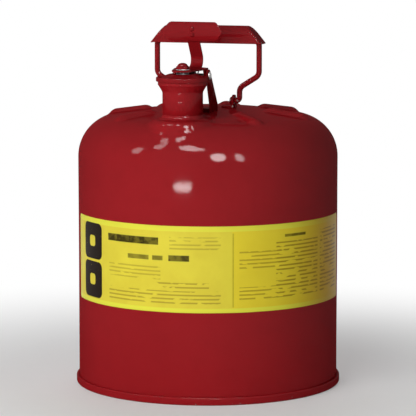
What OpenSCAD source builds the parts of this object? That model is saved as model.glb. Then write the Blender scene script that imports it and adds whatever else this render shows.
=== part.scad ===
// Safety can: a ribbed sheet-steel body with a self-closing pouring cap, a squeeze
// trigger and a swinging bail. The origin is on the body's axis where it meets the
// ground. +Z is up, the spout is towards -Y and every hinge turns about X.

/* [Body] */
// Outer radius of the body
body_r = 148.5; // [140:0.5:165]
// Thickness of the body sheet
wall = 0.8; // [0.6:0.1:1.2]
// Height at which the shoulder starts to curve inwards
shoulder_z = 261; // [190:1:330]
// Radius of the shoulder curve
shoulder_r = 48; // [42:1:52]
// Radius of the crown of the dome
crown_r = 645; // [600:5:750]

/* [Foot] */
// Height of the rolled seam round the foot
chime_h = 9; // [7:0.5:14]
// How far the rolled seam stands out from the body
chime_out = 3.2; // [2:0.1:5]
// Thickness of the seam under the sheets that it holds
chime_floor = 1.6; // [1:0.1:2.5]
// Thickness of the bottom pan's sheet
pan_wall = 0.8; // [0.6:0.1:1.2]
// Height of the bottom pan's edge above the ground
pan_z = 9; // [7:0.5:14]
// Rise of the bottom pan towards its middle
pan_rise = 4; // [1:0.5:8]

/* [Ribs] */
// Equal steps round the dome, one of which is left free for the spout
rib_steps = 8; // [6:1:9]
// Radius of a rib's round section
rib_r = 12; // [10:0.5:14]
// Height of a rib above the dome
rib_h = 4; // [3:0.5:5]
// Distance from the body's axis to the inner end of a rib's straight part
rib_start = 75; // [72:1:80]
// Distance from the body's axis to the outer end of a rib's straight part
rib_end = 108; // [90:1:109]

/* [Label] */
// Height of the label's lower edge
label_z = 103; // [60:1:120]
// Height of the label
label_h = 96; // [60:1:110]
// Thickness of the label
label_t = 0.25; // [0.15:0.05:0.5]
// Angle from the spout to the label's left end
label_left = 60; // [20:1:80]
// Angle from the spout to the label's right end
label_right = 96; // [40:1:120]

/* [Neck] */
// Distance from the body's side in to the neck's axis
neck_in = 50.5; // [48:0.5:52]
// Outer radius of the neck
neck_r = 22.5; // [21.5:0.1:23.5]
// Wall of the neck under the ledge that carries the arrester
neck_wall = 2.5; // [2:0.1:3]
// Width of that ledge
ledge_w = 1; // [0.6:0.1:1.4]
// Height of the lip above the pad round the neck
neck_h = 42.5; // [38:0.5:60]
// Outer radius of the lip
lip_r = 27.5; // [26.5:0.1:28]
// Thickness of the lip where it meets the gasket
lip_t = 3; // [2:0.1:3.5]
// Height of the flared part of the neck
flare_h = 11; // [9:0.5:14]
// Height of the straight edge of the lip
lip_h = 4; // [3:0.5:5]
// Radius of the raised pad round the neck
pad_r = 36; // [33:0.5:38]
// Height of the pad above the dome at the neck's axis
pad_rise = 2; // [1:0.5:4]
// Radius of the pad's rounded edge
pad_round = 7; // [5:0.5:9]
// Width of the soldered collar round the neck
collar_w = 4.5; // [3:0.5:6]
// Height of the collar above the pad
collar_h = 5; // [3.5:0.5:8]

/* [Arrester] */
// Outer radius of the arrester tube
arrester_r = 17.5; // [16.5:0.1:18.5]
// Length of the arrester tube
arrester_len = 98; // [70:1:120]
// Wall of the arrester tube
arrester_wall = 1; // [0.8:0.1:1.4]
// Thickness of the arrester's flange
arrester_flange_t = 1.5; // [1:0.1:2]
// Thickness of the wire mesh sleeve
mesh_t = 0.6; // [0.4:0.1:1]
// Radius of a hole in the arrester tube
hole_r = 3; // [2:0.1:3.4]
// Number of holes in one ring
holes_round = 8; // [6:2:10]
// Number of rings of holes
hole_rings = 7; // [4:1:8]
// Height of the arrester's end cap
end_cap_h = 7; // [5:0.5:10]

/* [Cap] */
// Outer radius of the cap
cap_r = 29.6; // [29.4:0.1:29.8]
// Thickness of the cap's sheet
cap_t = 1.2; // [1:0.1:1.4]
// How far the cap's skirt hangs below the top of the lip
skirt_drop = 0.6; // [0.3:0.1:1]
// Height of the raised ring in the cap
cap_ring_h = 3; // [2:0.1:3.6]
// Thickness of the gasket
gasket_t = 2.8; // [2:0.1:3.5]
// Radius of the cap's stud
stud_r = 3; // [2.5:0.1:3.5]
// Height of the stud's head
stud_head_h = 3; // [2:0.1:3.5]
// Height of the relief spring when the cap is shut
relief_h = 5.5; // [5.2:0.1:7]
// Radius of the relief spring's wire
relief_wire_r = 0.5; // [0.4:0.05:0.6]
// Number of turns of the relief spring
relief_turns = 3; // [2:1:4]
// Height of the acorn nut
nut_h = 7; // [6:0.1:10]
// Width of the acorn nut across its flats
nut_w = 13; // [11:0.5:14]

/* [Lever] */
// Distance from the neck's axis back to the lever's pin
pivot_back = 35; // [34.8:0.1:37]
// Height of the lever's pin above the lip
pivot_rise = 3; // [2:0.1:3.5]
// Radius of the lever's pin
pin_r = 2.5; // [2.2:0.05:2.6]
// Thickness of the lever's sheet
lever_t = 1.8; // [1.4:0.1:2.2]
// Outside width of the lever at its pin
lever_w = 35; // [33:0.5:38]
// Radius of the lever's round front end
lever_end_r = 12; // [10:0.5:14]
// Distance from the pin back to the bend of the stem
stem_back = 11; // [9:0.5:14]
// Radius of the stem's bend, at the middle of the sheet
stem_bend_r = 9; // [7:0.5:12]
// Angle at which the stem leans towards the spout
stem_lean = 35; // [25:1:40]
// Length of the leaning part of the stem
stem_len = 24; // [18:0.5:30]
// Width of the stem
stem_w = 14; // [12:0.5:18]
// Length of the upright tab that carries the trigger plate
tab_len = 13; // [12:0.5:15]

/* [Trigger plate] */
// Width of the trigger plate at its middle
trigger_w = 72; // [60:1:80]
// Width of the trigger plate at its top and bottom edges
trigger_edge_w = 54; // [40:1:58]
// Height of the trigger plate
trigger_h = 20; // [18:0.5:24]
// Radius of the trigger plate's curved section
trigger_r = 16; // [14:0.5:24]
// Thickness of the trigger plate
trigger_t = 1.6; // [1.2:0.1:2]
// Radius of a rivet
rivet_r = 1.8; // [1.5:0.1:2]
// Distance between the two rivets
rivet_gap = 6; // [5.5:0.1:6.5]

/* [Hinge bracket] */
// Thickness of the hinge bracket's sheet
bracket_t = 2; // [1.5:0.1:2.5]
// Radius of the bracket's pin ears
ear_r = 7; // [6:0.1:7.5]
// Width of a bracket leg
leg_w = 11; // [9:0.5:13]
// Distance from the pin back to the middle of the bracket's foot
foot_back = 24; // [20:0.5:26]
// Length of the bracket's foot on the dome
foot_len = 20; // [16:0.5:24]

/* [Lever spring] */
// Radius of the lever spring's wire
coil_wire_r = 0.75; // [0.6:0.05:0.8]
// Mean radius of the lever spring's coil
coil_r = 4; // [3.9:0.05:4.1]
// Number of turns of the lever spring
coil_turns = 6; // [3:1:8]

/* [Bail] */
// Radius of the bail's wire
wire_r = 3.175; // [2.5:0.025:3.5]
// Radius of the wire's bends
bend_r = 9; // [7:0.5:10]
// Half the width between the bail's feet
foot_x = 37.5; // [36:0.5:44]
// Half the width between the bail's upright sides
side_x = 60.5; // [58:0.5:66]
// Height of the bail's pivot above the dome
bail_pivot_h = 8; // [7.5:0.5:12]
// Height of the bail's feet above its pivot
foot_h = 15; // [12:0.5:18]
// Height of the bail's slanted lower part
flare_in_h = 14.5; // [12:0.5:20]
// Height of the bail's upright sides
side_h = 36; // [28:0.5:45]
// Height of the slanted sides of the grip
slope_h = 16; // [14:0.5:20]
// Half the width of the bail's top
top_x = 47.5; // [44:0.5:50]

/* [Grip] */
// Depth of the grip from front to back
grip_d = 23; // [18:0.5:26]
// Height of the grip
grip_h = 20; // [17:0.5:24]
// Thickness of the grip's sheet
grip_t = 1; // [0.8:0.1:1.4]

/* [Lugs] */
// Thickness of a bail lug
lug_t = 2.5; // [2:0.1:3]
// Radius of a lug's ear
lug_r = 7; // [6:0.1:7.4]
// Length of a lug's foot across the can
lug_foot = 14; // [10:0.5:18]

/* [Fits] */
// Radial clearance of a pin that turns in a hole
run_gap = 0.06; // [0.03:0.01:0.1]
// Gap between faces that seat on each other and part again
seat_gap = 0.2; // [0.1:0.05:0.3]
// Gap between fixed pieces that fit into each other
fix_gap = 0.05; // [0.02:0.01:0.1]
// Gap between sheets that slide past each other
side_gap = 0.6; // [0.4:0.1:0.8]

/* [Hidden] */

$fn = 96;
fine = 48; // sides of the smaller rounds
small = 24; // sides of rivets and small holes
over = 1; // how far a cutting solid runs past what it cuts
crown_steps = 6; // chords along half the crown
shoulder_steps = 18; // chords round the shoulder
neck_y = body_r - neck_in;

// The dome is a crown sphere that runs smoothly into the shoulder's curve.
shoulder_x = body_r - shoulder_r;
dome_rise = crown_r - sqrt(pow(crown_r - shoulder_r, 2) - pow(shoulder_x, 2));
crown_z = shoulder_z + dome_rise - crown_r;
crown_angle = asin(shoulder_x / (crown_r - shoulder_r));
function dome_z(r) = crown_z + sqrt(crown_r * crown_r - r * r);

pad_z = dome_z(neck_y) + pad_rise;
lip_z = pad_z + neck_h;
ledge_z = lip_z - flare_h + lip_h;
neck_in_r = neck_r - neck_wall;
ledge_r = neck_in_r + ledge_w;
neck_depth = 8; // how far the neck reaches below the pad

gasket_z = lip_z + seat_gap;
cap_z = gasket_z + gasket_t;
well_r = 10; // flat middle of the cap, under the relief spring
arm_z = cap_z + cap_t + relief_h;
stem_mid_z = arm_z + lever_t / 2;

pivot_y = pivot_back - neck_y;
pivot_z = lip_z + pivot_rise;
ear_in_x = lever_w / 2 + side_gap;
ear_out_x = ear_in_x + bracket_t;
pin_head_t = 2;
pin_head_w = 2; // how far the pin's head stands out from the pin
clip_t = 1;
clip_w = 2.5; // how far the clip stands out from the pin
foot_y = pivot_y + foot_back;
foot_top_z = dome_z(0) + bracket_t;

// The stem's side view: back along the arm, round the bend, up the lean and the tab.
bend_y = pivot_y + stem_back;
bend_z = stem_mid_z + stem_bend_r;
lean_y = bend_y + stem_bend_r * cos(stem_lean);
lean_z = bend_z + stem_bend_r * sin(stem_lean);
tab_y = lean_y - stem_len * sin(stem_lean);
tab_z = lean_z + stem_len * cos(stem_lean);
plate_up = 1; // how much higher the plate's middle is than the tab's middle
plate_z = tab_z + tab_len / 2 + plate_up;
plate_half = plate_z - tab_z + lever_t / 2; // from the plate's middle to the stem's bend
plate_dip = trigger_r - sqrt(trigger_r * trigger_r - plate_half * plate_half);
plate_y = tab_y - lever_t / 2 - fix_gap - plate_dip;

// The bail's outline, from its pivot up to its top
bail_z = dome_z(foot_x) + bail_pivot_h;
knee_z = bail_z + foot_h;
side_z = knee_z + flare_in_h;
slope_z = side_z + side_h;
top_z = slope_z + slope_h;
hook_r = 4.5; // bend that turns the wire into its lug
hook_room = 1; // from the lug to where the wire starts to bend
lug_out_x = foot_x - hook_r - hook_room;
grip_off = wire_r + fix_gap + grip_t;
grip_top = top_z + grip_off;
slope_len = sqrt(pow(side_x - top_x, 2) + pow(slope_h, 2));

// ---------------------------------------------------------------- shared shapes

// Points of an arc about a centre, by angles from +Z towards +X
function arc_points(x, z, r, from, to, steps) = [
    for (i = [0 : steps])
        let (a = from + (to - from) * i / steps) [x + r * sin(a), z + r * cos(a)]
];

// Half outline of the closed body, drawn inwards by `inset`
module body_outline(inset) {
    r = shoulder_r - inset;
    crown = arc_points(0, crown_z, crown_r - inset, 0, crown_angle, crown_steps);
    shoulder = arc_points(shoulder_x, shoulder_z, r, crown_angle, 90, shoulder_steps);
    polygon(concat(
        [[0, 0]], crown, [for (i = [1 : shoulder_steps]) shoulder[i]],
        [[body_r - inset, 0]]
    ));
}

// The direction of rib i about the body's axis; the spout stands at step 0.
function rib_angle(i) = -90 + i * 360 / rib_steps;

// Solid of the plain body, its faces moved in by `inset`. It starts between two ribs.
module body_solid(inset) {
    rotate([0, 0, rib_angle(1.5)]) rotate_extrude() body_outline(inset);
}

// One rib: a long bead with round ends, sunk so that rib_h of it shows
module rib(inset) {
    in_z = dome_z(rib_start) + rib_h - rib_r;
    out_z = dome_z(rib_end) + rib_h - rib_r;
    len = sqrt(pow(rib_end - rib_start, 2) + pow(in_z - out_z, 2));
    r = rib_r - inset;
    translate([rib_start, 0, in_z])
        rotate([0, 90 + atan2(in_z - out_z, rib_end - rib_start), 0])
            rotate_extrude($fn = fine) {
                square([r, len]);
                intersection() {
                    circle(r);
                    translate([0, -r]) square([r, r]);
                }
                intersection() {
                    translate([0, len]) circle(r);
                    translate([0, len]) square([r, r]);
                }
            }
}

module ribs(inset) {
    for (i = [1 : rib_steps - 1])
        rotate([0, 0, rib_angle(i)]) rib(inset);
}

pad_flare = 3; // how much the pad's sides widen on their way down

// The raised pad round the neck, with a rounded upper edge and sloping sides
module pad(inset) {
    base_z = pad_z - shoulder_r;
    top = pad_z - inset;
    r = pad_r - inset;
    round_r = pad_round - inset;
    translate([0, -neck_y, 0])
        rotate_extrude() {
            polygon([[0, base_z], [r + pad_flare, base_z], [r, top - round_r], [0, top - round_r]]);
            translate([0, top - round_r]) square([r - round_r, round_r]);
            intersection() {
                translate([r - round_r, top - round_r]) circle(round_r);
                translate([r - round_r, top - round_r]) square([round_r, round_r]);
            }
        }
}

// Everything inside the body's outer face
module body_mass() {
    body_solid(0);
    ribs(0);
    pad(0);
}

// A ring between two radii
module ring(r_out, r_in, h) {
    difference() {
        cylinder(r = r_out, h = h);
        translate([0, 0, -over]) cylinder(r = r_in, h = h + 2 * over);
    }
}

// A round bar along X between two places
module x_bar(x0, x1, r) {
    translate([x0, 0, 0]) rotate([0, 90, 0]) cylinder(r = r, h = x1 - x0, $fn = fine);
}

// A side view drawn in Y and Z, made into a sheet between two places on X
module x_sheet(x0, x1) {
    translate([x0, 0, 0]) rotate([90, 0, 90]) linear_extrude(height = x1 - x0) children();
}

// A front view drawn in X and Z, made into a block between two places on Y
module y_sheet(y0, y1) {
    translate([0, y1, 0]) rotate([90, 0, 0]) linear_extrude(height = y1 - y0) children();
}

// Points of a coil about Z: radius, pitch per turn, turns
function coil_points(r, pitch, turns, steps) = [
    for (i = [0 : turns * steps])
        let (a = i * 360 / steps) [r * cos(a), r * sin(a), pitch * i / steps]
];

function unit(v) = v / norm(v);

// Sweeps a round wire along a list of points; `ref` is never along the wire
module wire_sweep(pts, r, sides, ref) {
    n = len(pts);
    rings = [
        for (i = [0 : n - 1])
            let (
                t = unit(pts[min(i + 1, n - 1)] - pts[max(i - 1, 0)]),
                side = unit(cross(t, ref)),
                up = cross(t, side)
            )
            [for (k = [0 : sides - 1])
                pts[i] + r * (cos(k * 360 / sides) * side + sin(k * 360 / sides) * up)]
    ];
    polyhedron(
        points = [for (one = rings) for (p = one) p],
        faces = concat(
            [[for (k = [0 : sides - 1]) k]],
            [[for (k = [sides - 1 : -1 : 0]) (n - 1) * sides + k]],
            [for (i = [0 : n - 2]) for (k = [0 : sides - 1])
                let (a = i * sides + k, b = i * sides + (k + 1) % sides)
                [a, a + sides, b + sides, b]]
        )
    );
}

// ------------------------------------------------------------------------- body

module body_shell() {
    color("firebrick")
        difference() {
            body_mass();
            difference() {
                union() {
                    body_solid(wall);
                    ribs(wall);
                    pad(wall);
                }
                translate([0, 0, -over]) cylinder(r = body_r, h = over);
            }
            translate([0, 0, -over]) cylinder(r = body_r + over, h = over + chime_floor);
            translate([0, -neck_y, shoulder_z])
                cylinder(r = neck_r + fix_gap, h = 2 * dome_rise);
        }
}

pan_edge_w = 9; // width of the pan's flat edge, and of the slope inside it

// The pan's edge is turned down and held in the seam.
module bottom_pan() {
    r = body_r - wall - fix_gap;
    edge_r = r - pan_edge_w;
    flat_r = edge_r - pan_edge_w;
    flat_z = pan_z + pan_rise;
    color("firebrick")
        rotate_extrude()
            polygon([
                [r, chime_floor], [r, pan_z + pan_wall], [edge_r, pan_z + pan_wall],
                [flat_r, flat_z], [0, flat_z], [0, flat_z - pan_wall],
                [flat_r, flat_z - pan_wall], [edge_r, pan_z],
                [r - pan_wall, pan_z], [r - pan_wall, chime_floor]
            ]);
}

// The seam that folds round the edges of the body and the pan
module bottom_chime() {
    in_r = body_r - wall - pan_wall - 2 * fix_gap;
    out_r = body_r + chime_out;
    slot_r = body_r + fix_gap;
    round_r = chime_floor;
    color("firebrick")
        rotate_extrude()
            difference() {
                union() {
                    translate([in_r - chime_floor, 0])
                        square([out_r - round_r - in_r + chime_floor, chime_h]);
                    translate([in_r, round_r])
                        square([out_r - in_r, chime_h - 2 * round_r]);
                    translate([out_r - round_r, round_r]) circle(round_r, $fn = fine);
                    translate([out_r - round_r, chime_h - round_r]) circle(round_r, $fn = fine);
                }
                translate([in_r, chime_floor]) square([slot_r - in_r, chime_h]);
                // The inner fold ends just under the pan.
                translate([in_r - 2 * chime_floor, pan_z - over])
                    square([2 * chime_floor, chime_h]);
            }
}

module label_band() {
    color("gold")
        translate([0, 0, label_z])
            rotate([0, 0, -90 - label_left])
                rotate_extrude(angle = label_left + label_right)
                    translate([body_r + fix_gap, 0]) square([label_t, label_h]);
}

// ------------------------------------------------------------------------- neck

collar_top_w = 1; // width of the collar at its upper edge

module neck_collar() {
    color("firebrick")
        difference() {
            translate([0, -neck_y, pad_z + fix_gap])
                cylinder(r1 = neck_r + collar_w, r2 = neck_r + collar_top_w, h = collar_h);
            translate([0, -neck_y, pad_z - over])
                cylinder(r = neck_r + fix_gap, h = collar_h + 2 * over);
            body_solid(-fix_gap);
        }
}

lip_edge = 0.6; // chamfer of the lip's outer edges

module spout_neck() {
    base_z = pad_z - neck_depth;
    color("firebrick")
        translate([0, -neck_y, 0])
            rotate_extrude()
                polygon([
                    [neck_in_r, base_z], [neck_r, base_z], [neck_r, lip_z - flare_h],
                    [lip_r - lip_edge, lip_z - lip_h - lip_edge], [lip_r, lip_z - lip_h],
                    [lip_r, lip_z - lip_edge], [lip_r - lip_edge, lip_z],
                    [lip_r - lip_t, lip_z], [ledge_r, ledge_z + arrester_flange_t],
                    [ledge_r, ledge_z - arrester_flange_t],
                    [neck_in_r, ledge_z - arrester_flange_t]
                ]);
}

// --------------------------------------------------------------------- arrester

arrester_top = ledge_z;
arrester_bottom = arrester_top - arrester_len;

module arrester_flange() {
    color("silver")
        translate([0, -neck_y, arrester_top - arrester_flange_t])
            ring(ledge_r - fix_gap, arrester_r + fix_gap, arrester_flange_t);
}

// The rings of holes are staggered and stay between the end cap and the neck.
module arrester_tube() {
    rim = end_cap_h + 2 * hole_r;
    step = (arrester_len - rim - neck_h) / (hole_rings - 1);
    hole_turn = 360 / holes_round;
    color("silver")
        translate([0, -neck_y, arrester_bottom])
            difference() {
                ring(arrester_r, arrester_r - arrester_wall, arrester_len);
                for (i = [0 : hole_rings - 1], k = [0 : holes_round - 1])
                    translate([0, 0, rim + i * step])
                        rotate([0, 0, (k + (i % 2) / 2) * hole_turn + hole_turn / 4])
                            translate([arrester_r - arrester_wall - over, 0, 0])
                                rotate([0, 90, 0])
                                    cylinder(r = hole_r, h = arrester_wall + 2 * over,
                                        $fn = small);
            }
}

module arrester_mesh() {
    r = arrester_r - arrester_wall - fix_gap;
    color("gray")
        translate([0, -neck_y, arrester_bottom]) ring(r, r - mesh_t, arrester_len);
}

module arrester_end_cap() {
    r = arrester_r + fix_gap;
    color("silver")
        translate([0, -neck_y, arrester_bottom - arrester_wall]) {
            cylinder(r = r + arrester_wall, h = arrester_wall);
            ring(r + arrester_wall, r, end_cap_h + arrester_wall);
        }
}

// ----------------------------------------------------------------------- hinge

// A point on a round of radius r about the pin, seen from the side
function ear_point(turn, r) = [pivot_y + r * cos(turn), pivot_z + r * sin(turn)];

leg_front_turn = 205; // where the leg's edges leave the round of its ear
leg_back_turn = 20;
foot_edge_h = 4; // height of the leg's back edge above the foot

// Side view of a bracket leg: a round ear that slopes back and down to its foot
module leg_outline() {
    foot_front = foot_y - foot_len / 2;
    foot_end = foot_y + foot_len / 2;
    low = pad_z - pad_round;
    difference() {
        union() {
            translate([pivot_y, pivot_z]) circle(ear_r, $fn = fine);
            polygon([
                ear_point(leg_front_turn, ear_r), [foot_front, low], [foot_end, low],
                [foot_end, foot_top_z + foot_edge_h],
                [pivot_y + leg_w, pivot_z - ear_r / 2], ear_point(leg_back_turn, ear_r)
            ]);
        }
        translate([pivot_y, pivot_z]) circle(pin_r + run_gap, $fn = fine);
    }
}

module hinge_bracket() {
    color("firebrick")
        difference() {
            union() {
                for (s = [0, 1])
                    mirror([s, 0, 0]) x_sheet(ear_in_x, ear_out_x) leg_outline();
                translate([-ear_out_x, foot_y - foot_len / 2, pad_z - pad_round])
                    cube([2 * ear_out_x, foot_len, foot_top_z - pad_z + pad_round]);
            }
            body_solid(-fix_gap);
        }
}

module hinge_pin() {
    color("silver")
        translate([0, pivot_y, pivot_z]) {
            // The plain end reaches a clip's thickness past its clip.
            x_bar(-ear_out_x - 3 * clip_t, ear_out_x + seat_gap, pin_r);
            x_bar(ear_out_x + seat_gap, ear_out_x + seat_gap + pin_head_t, pin_r + pin_head_w);
        }
}

// A snap ring with an open mouth at its lower side
module pin_clip() {
    x0 = -ear_out_x - seat_gap - clip_t;
    mouth = 1.4 * pin_r;
    color("silver")
        translate([0, pivot_y, pivot_z])
            difference() {
                x_bar(x0, x0 + clip_t, pin_r + clip_w);
                x_bar(x0 - over, x0 + clip_t + over, pin_r + fix_gap);
                translate([x0 - over, -mouth / 2, -2 * ear_r])
                    cube([clip_t + 2 * over, mouth, 2 * ear_r]);
            }
}

// A torsion spring round the pin: one end on the bracket's foot, one under the lever
module lever_spring() {
    steps = 16; // points along a turn
    sides = 8;
    pitch = 2 * coil_wire_r + seat_gap;
    coil_w = pitch * coil_turns;
    // Turned so that the coil's axis lies along X; it starts and ends on its back.
    turned = [for (p = coil_points(coil_r, pitch, coil_turns, steps))
        [p[2] - coil_w / 2, pivot_y + p[0], pivot_z + p[1]]];
    foot_tip = [-coil_w / 2, foot_y, foot_top_z + coil_wire_r + fix_gap];
    arm_tip = [coil_w / 2, bend_y, arm_z - coil_wire_r - seat_gap];
    color("silver")
        wire_sweep(concat([foot_tip], turned, [arm_tip]), coil_wire_r, sides, [1, 0, 0]);
}

// ------------------------------------------------------------------------ lever

// Side view of the stem: back from the pin, round the bend, up the lean and the tab
module stem_outline() {
    half = lever_t / 2;
    far = 3 * stem_bend_r;
    translate([pivot_y, arm_z]) square([stem_back, lever_t]);
    intersection() {
        translate([bend_y, bend_z])
            difference() {
                circle(stem_bend_r + half);
                circle(stem_bend_r - half);
            }
        polygon([
            [bend_y, bend_z], [bend_y, bend_z - far], [bend_y + far, bend_z - far],
            [bend_y + far * cos(stem_lean), bend_z + far * sin(stem_lean)]
        ]);
    }
    translate([lean_y, lean_z]) rotate(stem_lean) translate([-half, 0])
        square([lever_t, stem_len]);
    translate([tab_y, tab_z]) circle(half, $fn = fine);
    translate([tab_y - half, tab_z]) square([lever_t, tab_len]);
}

arm_taper = 3; // from the round of the ears to the narrowing of the arm
arm_wide_y = pivot_y - ear_r - arm_taper;
cheek_back_y = pivot_y + stem_back / 2; // where the cheeks end at the back

// The lever's arm seen from above: round at the stud, wide at the pin
module arm_outline() {
    difference() {
        union() {
            translate([0, -neck_y]) circle(lever_end_r);
            polygon([
                [-lever_end_r, -neck_y], [-lever_w / 2, arm_wide_y],
                [-lever_w / 2, cheek_back_y], [-stem_w / 2, bend_y],
                [stem_w / 2, bend_y], [lever_w / 2, cheek_back_y],
                [lever_w / 2, arm_wide_y], [lever_end_r, -neck_y]
            ]);
        }
        translate([0, -neck_y]) circle(stud_r + run_gap, $fn = fine);
    }
}

cheek_less = 1; // how much smaller a cheek's round is than the ear beside it
cheek_r = ear_r - cheek_less;
cheek_turn = 45; // where the cheek's edges leave the round about the pin

// Side view of a cheek that hangs from the arm and turns on the pin
module cheek_outline() {
    top = arm_z + lever_t / 2;
    difference() {
        union() {
            translate([pivot_y, pivot_z]) circle(cheek_r, $fn = fine);
            polygon([
                ear_point(180 + cheek_turn, cheek_r), [arm_wide_y, top],
                [cheek_back_y, top], ear_point(-cheek_turn, cheek_r)
            ]);
        }
        translate([pivot_y, pivot_z]) circle(pin_r + run_gap, $fn = fine);
    }
}

module trigger_lever() {
    color("firebrick")
        difference() {
            union() {
                translate([0, 0, arm_z]) linear_extrude(height = lever_t) arm_outline();
                for (s = [0, 1])
                    mirror([s, 0, 0])
                        x_sheet(lever_w / 2 - lever_t, lever_w / 2) cheek_outline();
                x_sheet(-stem_w / 2, stem_w / 2) stem_outline();
            }
            rivet_places() rotate([90, 0, 0])
                cylinder(r = rivet_r + fix_gap, h = 4 * lever_t, center = true, $fn = small);
        }
}

module rivet_places() {
    for (side = [-1, 1])
        translate([0, tab_y, plate_z + side * rivet_gap / 2]) children();
}

// The trigger plate bulges towards the spout, where the fingers pull on it.
module trigger_plate() {
    color("firebrick")
        difference() {
            intersection() {
                x_sheet(-trigger_w / 2, trigger_w / 2)
                    difference() {
                        translate([plate_y - trigger_t + trigger_r, plate_z]) circle(trigger_r);
                        translate([plate_y + trigger_r, plate_z]) circle(trigger_r);
                    }
                y_sheet(plate_y - trigger_r, plate_y + trigger_r)
                    polygon([
                        [-trigger_w / 2, plate_z], [-trigger_edge_w / 2, plate_z + trigger_h / 2],
                        [trigger_edge_w / 2, plate_z + trigger_h / 2], [trigger_w / 2, plate_z],
                        [trigger_edge_w / 2, plate_z - trigger_h / 2],
                        [-trigger_edge_w / 2, plate_z - trigger_h / 2]
                    ]);
            }
            rivet_places() rotate([90, 0, 0])
                cylinder(r = rivet_r + fix_gap, h = trigger_r, center = true, $fn = small);
        }
}

module trigger_rivets() {
    head_h = 1;
    head_r = 1.5 * rivet_r;
    front = plate_y - trigger_t;
    back = tab_y + lever_t / 2;
    color("silver")
        for (side = [-1, 1])
            translate([0, 0, plate_z + side * rivet_gap / 2]) rotate([-90, 0, 0]) {
                translate([0, 0, front - head_h]) cylinder(r = head_r, h = head_h, $fn = small);
                translate([0, 0, front - head_h])
                    cylinder(r = rivet_r, h = back - front + 2 * head_h, $fn = small);
                translate([0, 0, back]) cylinder(r = head_r, h = head_h, $fn = small);
            }
}

// -------------------------------------------------------------------------- cap

well_edge = 1.5; // width from the well to the raised ring
ring_edge = 0.5; // how far inside the lip's bore the raised ring ends

// A pressed cap: a flat well, a raised ring about it, a flat seat and a short skirt
module cap_shell() {
    ring_in = well_r + well_edge;
    ring_out = lip_r - lip_t - ring_edge;
    color("firebrick")
        translate([0, -neck_y, 0])
            rotate_extrude()
                polygon([
                    [stud_r + fix_gap, cap_z], [ring_in + cap_t, cap_z],
                    [ring_in + cap_t, cap_z + cap_ring_h], [ring_in + 2 * cap_t, cap_z + cap_ring_h],
                    [ring_out - cap_t, cap_z], [cap_r - cap_t, cap_z],
                    [cap_r - cap_t, lip_z - skirt_drop], [cap_r, lip_z - skirt_drop],
                    [cap_r, cap_z + cap_t / 2], [cap_r - cap_t / 2, cap_z + cap_t],
                    [ring_out, cap_z + cap_t], [ring_in + 2 * cap_t, cap_z + cap_t + cap_ring_h],
                    [ring_in, cap_z + cap_t + cap_ring_h], [ring_in, cap_z + cap_t],
                    [stud_r + fix_gap, cap_z + cap_t]
                ]);
}

retainer_t = 1.2;
retainer_w = 2; // how far the retainer's edge holds the gasket
retainer_r = lip_r - lip_t - 2 * retainer_w;

module cap_gasket() {
    color("dimgray")
        translate([0, -neck_y, gasket_z])
            ring(cap_r - cap_t - fix_gap, retainer_r + fix_gap, gasket_t);
}

// A dished plate that clamps the gasket's inner edge against the cap
module gasket_retainer() {
    color("silver")
        translate([0, -neck_y, 0])
            rotate_extrude()
                polygon([
                    [stud_r + fix_gap, cap_z], [retainer_r, cap_z], [retainer_r, gasket_z],
                    [retainer_r + retainer_w, gasket_z],
                    [retainer_r + retainer_w, gasket_z - retainer_t],
                    [retainer_r - retainer_t, gasket_z - retainer_t],
                    [retainer_r - retainer_t, cap_z - retainer_t],
                    [stud_r + fix_gap, cap_z - retainer_t]
                ]);
}

washer_t = 0.8;
washer_z = arm_z + lever_t + seat_gap;
nut_z = washer_z + washer_t;

module cap_stud() {
    head_z = cap_z - retainer_t - stud_head_h;
    color("silver")
        translate([0, -neck_y, 0]) {
            translate([0, 0, head_z]) cylinder(r = 2 * stud_r, h = stud_head_h, $fn = fine);
            translate([0, 0, head_z])
                cylinder(r = stud_r, h = nut_z + nut_h / 2 - head_z, $fn = fine);
        }
}

relief_in = 3; // from the well's edge in to the relief spring's turns

module relief_spring() {
    steps = 20; // points along a turn
    sides = 6;
    z0 = cap_z + cap_t + relief_wire_r;
    rise = relief_h - 2 * relief_wire_r - seat_gap;
    color("silver")
        translate([0, -neck_y, z0])
            wire_sweep(
                coil_points(well_r - relief_in, rise / relief_turns, relief_turns, steps),
                relief_wire_r, sides, [0, 0, 1]
            );
}

module stud_washer() {
    r = nut_w / 2 + washer_t;
    color("silver")
        translate([0, -neck_y, washer_z]) ring(r, stud_r + fix_gap, washer_t);
}

module acorn_nut() {
    flats_h = nut_h / 2;
    dome_r = nut_w / 2 - ring_edge;
    color("silver")
        translate([0, -neck_y, nut_z])
            difference() {
                union() {
                    cylinder(r = nut_w / 2 / cos(30), h = flats_h, $fn = 6);
                    translate([0, 0, flats_h])
                        intersection() {
                            translate([0, 0, nut_h - flats_h - dome_r])
                                sphere(dome_r, $fn = fine);
                            cylinder(r = dome_r, h = nut_h);
                        }
                }
                translate([0, 0, -over])
                    cylinder(r = stud_r + fix_gap, h = flats_h + over + fix_gap, $fn = fine);
            }
}

// ------------------------------------------------------------------------- bail

// Points round the bend of radius r at the corner b of the path a-b-c
function bend_points(a, b, c, r, steps) =
    let (
        u = unit(b - a), v = unit(c - b), turn = acos(u * v),
        inward = sign(cross(u, v)) * [-u[1], u[0]],
        centre = b - u * r * tan(turn / 2) + inward * r
    )
    [for (i = [0 : steps])
        centre - inward * r * cos(i * turn / steps) + u * r * sin(i * turn / steps)];

peen_t = 2;
peen_w = 1.4; // how far the peened end stands out from the wire
peen_r = wire_r + peen_w;
swept_less = 0.02; // how much thinner the swept wire is than its straight ends
hook_x = lug_out_x - lug_t - side_gap - peen_t;
hook_start = foot_x - hook_r;

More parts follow.
